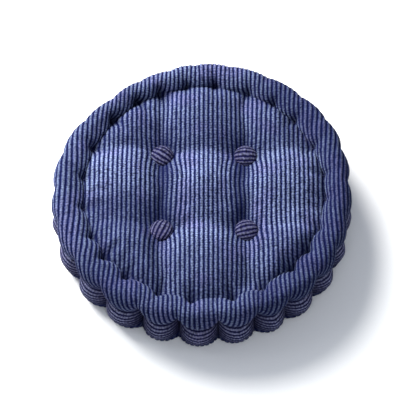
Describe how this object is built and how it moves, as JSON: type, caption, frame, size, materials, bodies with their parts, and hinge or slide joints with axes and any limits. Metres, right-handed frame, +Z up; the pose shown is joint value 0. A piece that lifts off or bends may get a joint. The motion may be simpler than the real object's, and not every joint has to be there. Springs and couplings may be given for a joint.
{
  "type": "floor cushion",
  "caption": "Round box-edged floor cushion in wide-wale corduroy, with rolled stitched rims, a scalloped band and a square of covered tuft buttons on each face.",
  "frame": {"origin": "centre of the underside, on the surface that the cushion rests on", "axes": "+Z up through the cushion's thickness; +Y to the back, along the wales of the cover; +X to the right"},
  "size_m": [0.402, 0.402, 0.09],
  "materials": {
    "corduroy": "wide-wale cotton corduroy, matt pile with a pale sheen at grazing angles",
    "band_corduroy": "the same corduroy with its wales running round the band",
    "button_corduroy": "the same corduroy stretched over the button",
    "fibre": "soft white polyester fibre",
    "thread": "waxed navy sewing thread",
    "twine": "natural twisted tufting twine",
    "button_metal": "pressed sheet, satin",
    "wire": "bright drawn wire"
  },
  "bodies": {
    "root": {"top_panel": "corduroy", "side_band": "band_corduroy", "bottom_panel": "corduroy", "fibre_fill": "fibre", "upper_groove_thread": "thread", "upper_band_thread": "thread", "upper_button_cover_front_left": "button_corduroy", "upper_button_shell_front_left": "button_metal", "upper_button_plate_front_left": "button_metal", "upper_button_wire_loop_front_left": "wire", "upper_button_cover_front_right": "button_corduroy", "upper_button_shell_front_right": "button_metal", "upper_button_plate_front_right": "button_metal", "upper_button_wire_loop_front_right": "wire", "upper_button_cover_back_left": "button_corduroy", "upper_button_shell_back_left": "button_metal", "upper_button_plate_back_left": "button_metal", "upper_button_wire_loop_back_left": "wire", "upper_button_cover_back_right": "button_corduroy", "upper_button_shell_back_right": "button_metal", "upper_button_plate_back_right": "button_metal", "upper_button_wire_loop_back_right": "wire", "lower_groove_thread": "thread", "lower_band_thread": "thread", "lower_button_cover_front_left": "button_corduroy", "lower_button_shell_front_left": "button_metal", "lower_button_plate_front_left": "button_metal", "lower_button_wire_loop_front_left": "wire", "lower_button_cover_front_right": "button_corduroy", "lower_button_shell_front_right": "button_metal", "lower_button_plate_front_right": "button_metal", "lower_button_wire_loop_front_right": "wire", "lower_button_cover_back_left": "button_corduroy", "lower_button_shell_back_left": "button_metal", "lower_button_plate_back_left": "button_metal", "lower_button_wire_loop_back_left": "wire", "lower_button_cover_back_right": "button_corduroy", "lower_button_shell_back_right": "button_metal", "lower_button_plate_back_right": "button_metal", "lower_button_wire_loop_back_right": "wire", "tuft_twine_front_left": "twine", "tuft_twine_front_right": "twine", "tuft_twine_back_left": "twine", "tuft_twine_back_right": "twine"}
  },
  "joints": []
}
